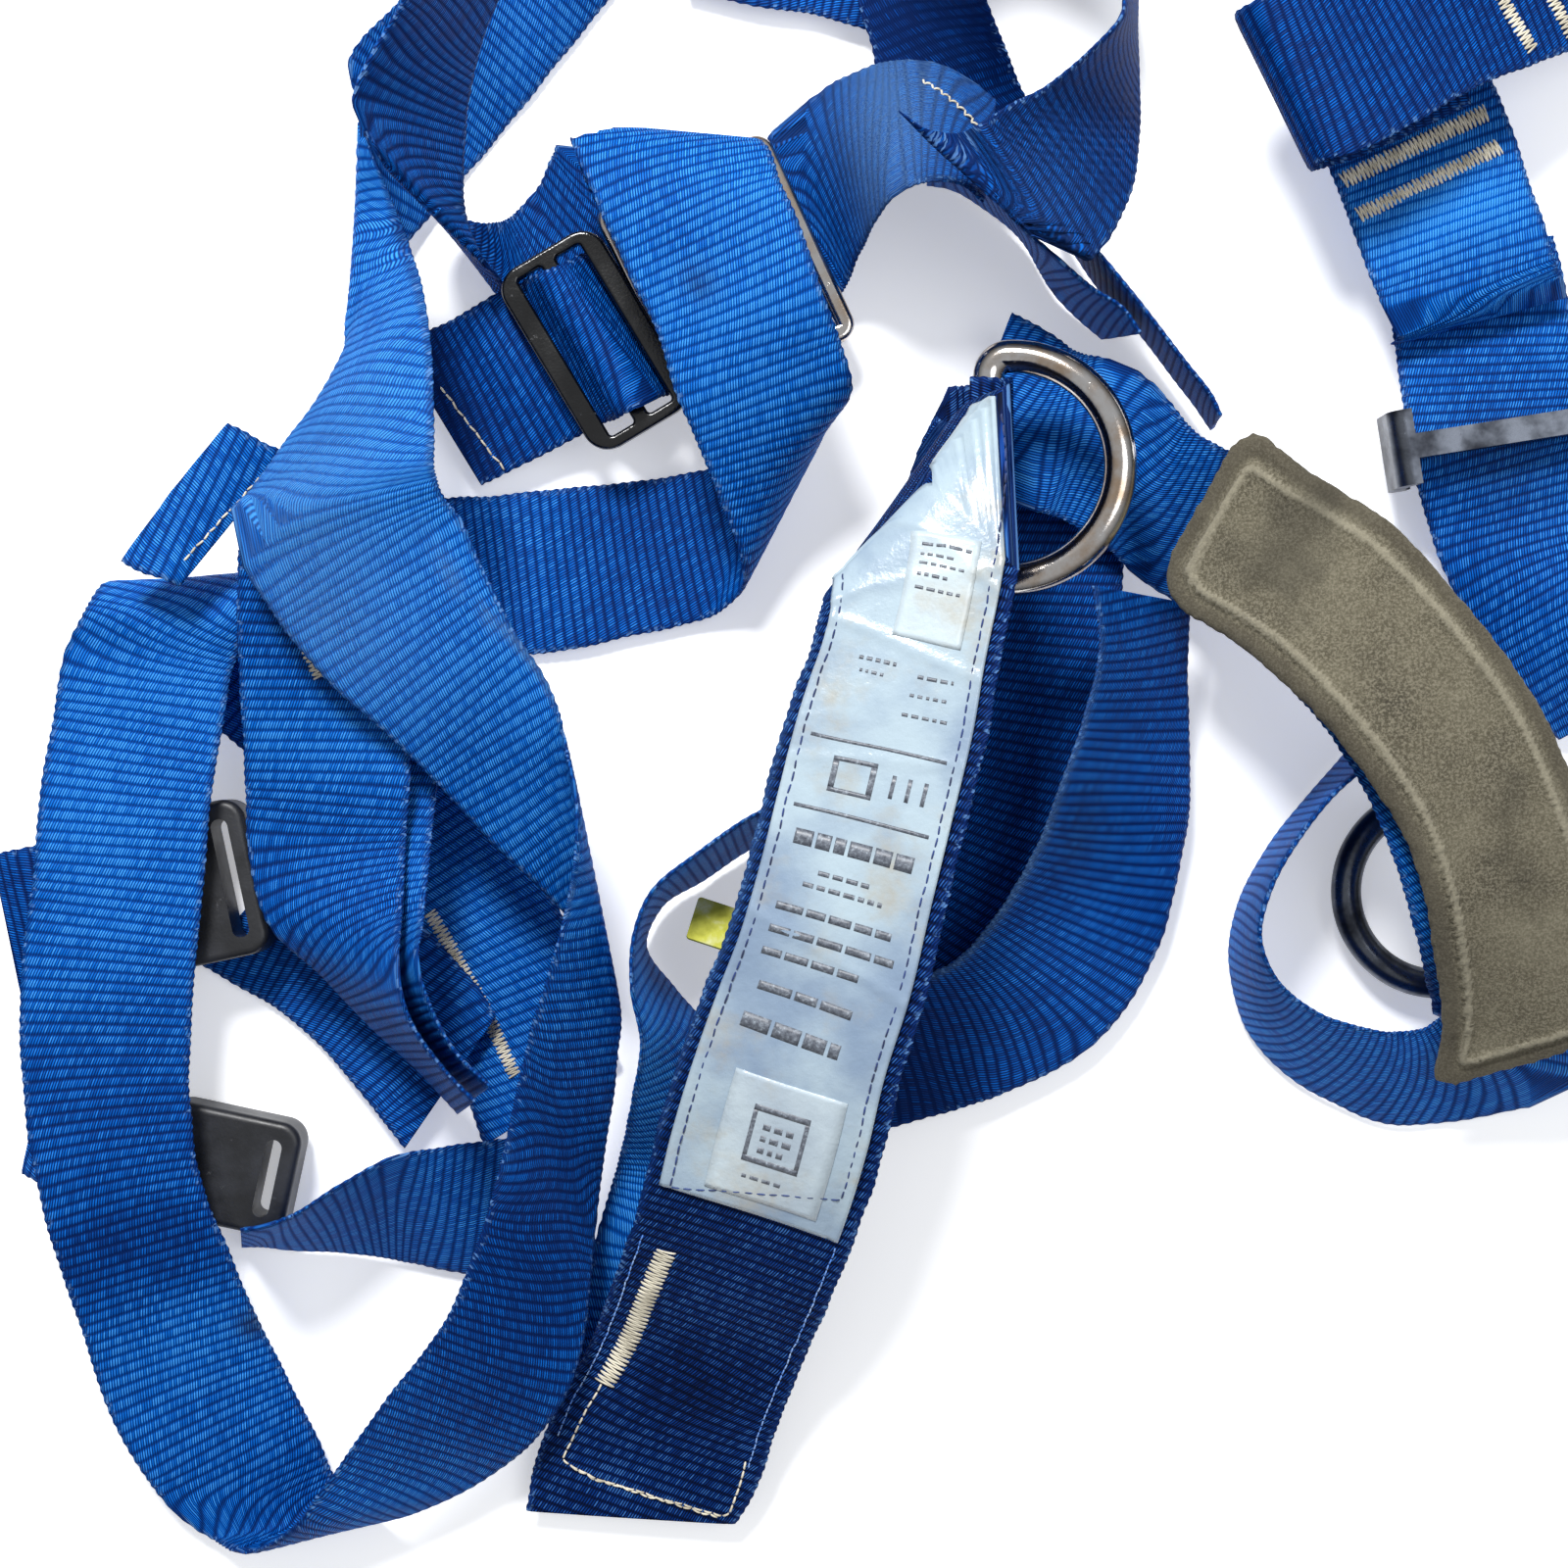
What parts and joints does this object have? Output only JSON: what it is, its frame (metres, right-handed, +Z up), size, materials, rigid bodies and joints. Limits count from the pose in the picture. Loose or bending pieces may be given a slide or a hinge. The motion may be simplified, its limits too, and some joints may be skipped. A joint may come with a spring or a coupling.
{
  "type": "safety harness",
  "caption": "Full-body fall-arrest harness of flat woven webbing lying in a loose pile, with attachment rings, buckles, sliding adjusters, suede wear pad and label sleeve.",
  "frame": {"origin": "middle of the pile on the floor", "axes": "+Z up, +Y towards the top edge of the pile as seen from above, +X to its right"},
  "size_m": [0.4996, 0.4837, 0.0799],
  "materials": {
    "webbing": "woven polyester webbing",
    "label": "coated label film",
    "tag": "woven tag",
    "suede": "split suede",
    "chrome": "polished",
    "dark_steel": "dark oxide",
    "black_plastic": "moulded"
  },
  "bodies": {
    "harness": {"strap_a": "webbing", "strap_b": "webbing", "strap_c": "webbing", "chest_strap": "webbing", "yoke_strap": "webbing", "cross_strap": "webbing", "keeper_strap": "webbing", "side_strap": "webbing", "pad_strap": "webbing", "shoulder_strap_c": "webbing", "shoulder_strap_d": "webbing", "extension_strap": "webbing", "leg_loop_strap": "webbing", "back_strap": "webbing", "back_underlay": "webbing", "leg_strap_upper": "webbing", "leg_strap_lower": "webbing", "thigh_strap": "webbing", "end_tab": "webbing", "hip_strap": "webbing", "hip_drop": "webbing", "hip_lower": "webbing", "label_panel": "label", "size_tag": "tag", "wear_pad": "suede", "buckle_1_housing": "black_plastic", "buckle_2_housing": "black_plastic"},
    "d_ring": {"dorsal_d_ring": "chrome"},
    "steel_ring": {"attachment_ring": "dark_steel"},
    "link": {"chest_link": "chrome"},
    "slider": {"chest_slider": "black_plastic"},
    "adjuster": {"hip_adjuster": "dark_steel"},
    "tongue_1": {"buckle_1_tongue": "black_plastic", "leg_tail_1": "webbing"},
    "tongue_2": {"buckle_2_tongue": "black_plastic", "leg_tail_2": "webbing"}
  },
  "joints": [
    {"name": "d_ring_swing", "type": "hinge", "parent": "harness", "child": "d_ring", "pos_m": [0.0673, 0.0446, 0.044], "axis": [0, -1, 0], "range_deg": [-4, 40]},
    {"name": "steel_ring_lift", "type": "hinge", "parent": "harness", "child": "steel_ring", "pos_m": [0.217, -0.065, 0.009], "axis": [0, 1, 0], "range_deg": [0, 12]},
    {"name": "link_rock", "type": "hinge", "parent": "harness", "child": "link", "pos_m": [-0.0006, 0.1008, 0.0155], "axis": [-0.4226, 0.9063, 0], "range_deg": [-1.2, 0.4]},
    {"name": "slider_slide", "type": "slide", "parent": "harness", "child": "slider", "axis": [0.8572, 0.515, 0], "range_m": [-0.0008, 0.0008]},
    {"name": "adjuster_slide", "type": "slide", "parent": "harness", "child": "adjuster", "axis": [0.1564, -0.9877, 0], "range_m": [-0.003, 0.003]},
    {"name": "tongue_1_slide", "type": "slide", "parent": "harness", "child": "tongue_1", "axis": [-0.9781, -0.2079, 0], "range_m": [0, 0.008]},
    {"name": "tongue_2_slide", "type": "slide", "parent": "harness", "child": "tongue_2", "axis": [-0.9781, 0.2079, 0], "range_m": [0, 0.012]}
  ]
}
